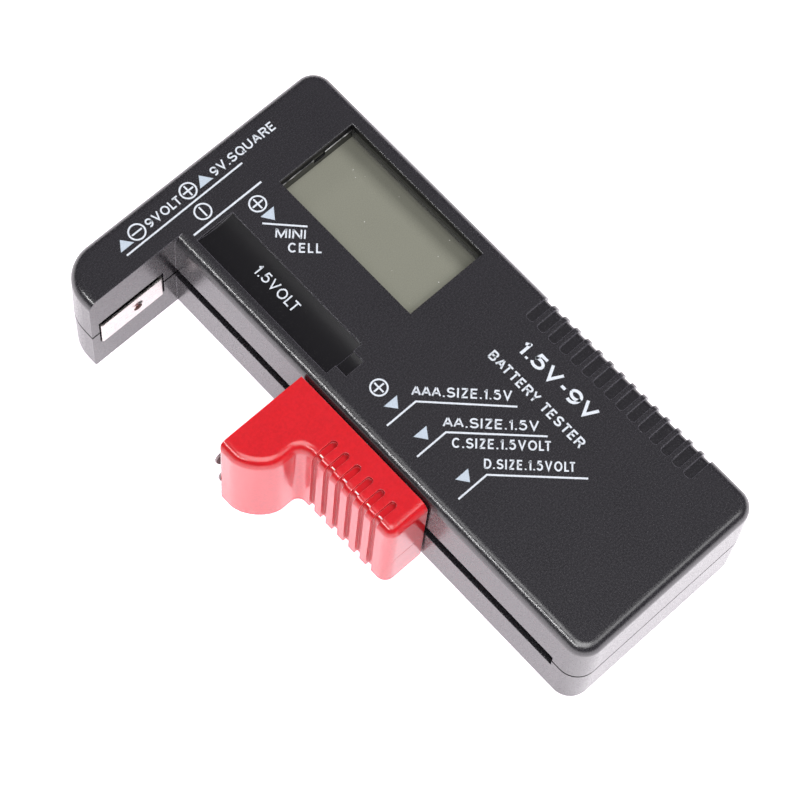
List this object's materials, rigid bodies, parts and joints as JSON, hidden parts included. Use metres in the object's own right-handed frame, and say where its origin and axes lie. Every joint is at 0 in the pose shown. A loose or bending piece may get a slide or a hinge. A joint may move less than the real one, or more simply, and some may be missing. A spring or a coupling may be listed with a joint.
{
  "type": "battery tester",
  "caption": "Handheld battery tester: L-shaped black case with a display, an arm with a contact plate and a red slider that closes on the cell.",
  "frame": {"origin": "middle of the footprint on the plane of the back face", "axes": "+Y along the length towards the arm end, +X away from the arm, +Z out of the display face"},
  "size_m": [0.06, 0.11, 0.025],
  "materials": {
    "case_front": "fine matte grain",
    "case_rear": "fine matte grain",
    "inner_black": "smooth",
    "display_face": "clear grey-green film",
    "display_glass": "polished",
    "display_reflector": "satin silver film",
    "zebra_rubber": "layered",
    "board": "solder resist",
    "screw_steel": "zinc plated",
    "resin": "cured drop",
    "resistor_ceramic": "fired",
    "capacitor_ceramic": "fired",
    "ferrite": "sintered",
    "nickel": "bright nickel plate",
    "nickel_inner": "nickel plate",
    "slider_nickel": "nickel plate",
    "slider_red": "glossy moulded",
    "bronze": "spring bronze",
    "wire_black": "extruded insulation",
    "wire_red": "extruded insulation"
  },
  "bodies": {
    "housing": {"front_shell": "case_front", "rear_shell": "case_rear", "lcd_frame": "inner_black", "lcd_front_polarizer": "display_face", "lcd_front_glass": "display_glass", "lcd_rear_glass": "display_glass", "lcd_reflector": "display_reflector", "zebra_strip": "zebra_rubber", "main_pcb": "board", "pcb_screws": "screw_steel", "case_screws": "screw_steel", "ic_blob": "resin", "smd_resistors": "resistor_ceramic", "smd_capacitors": "capacitor_ceramic", "boost_inductor": "ferrite", "arm_contact_plate": "nickel", "nine_volt_contact_neg": "nickel", "nine_volt_contact_pos": "nickel", "contact_rail": "nickel_inner", "wire_arm_plate": "wire_black", "wire_nine_volt_neg": "wire_black", "wire_nine_volt_pos": "wire_red", "wire_rail": "wire_red"},
    "slider": {"slider_grip": "slider_red", "slider_contact": "slider_nickel", "slider_carriage": "inner_black", "wiper_spring": "bronze", "slider_screws": "screw_steel"}
  },
  "joints": [
    {"name": "slider_slide", "type": "slide", "parent": "housing", "child": "slider", "axis": [0, 1, 0], "range_m": [-0.032, 0.0295]}
  ]
}
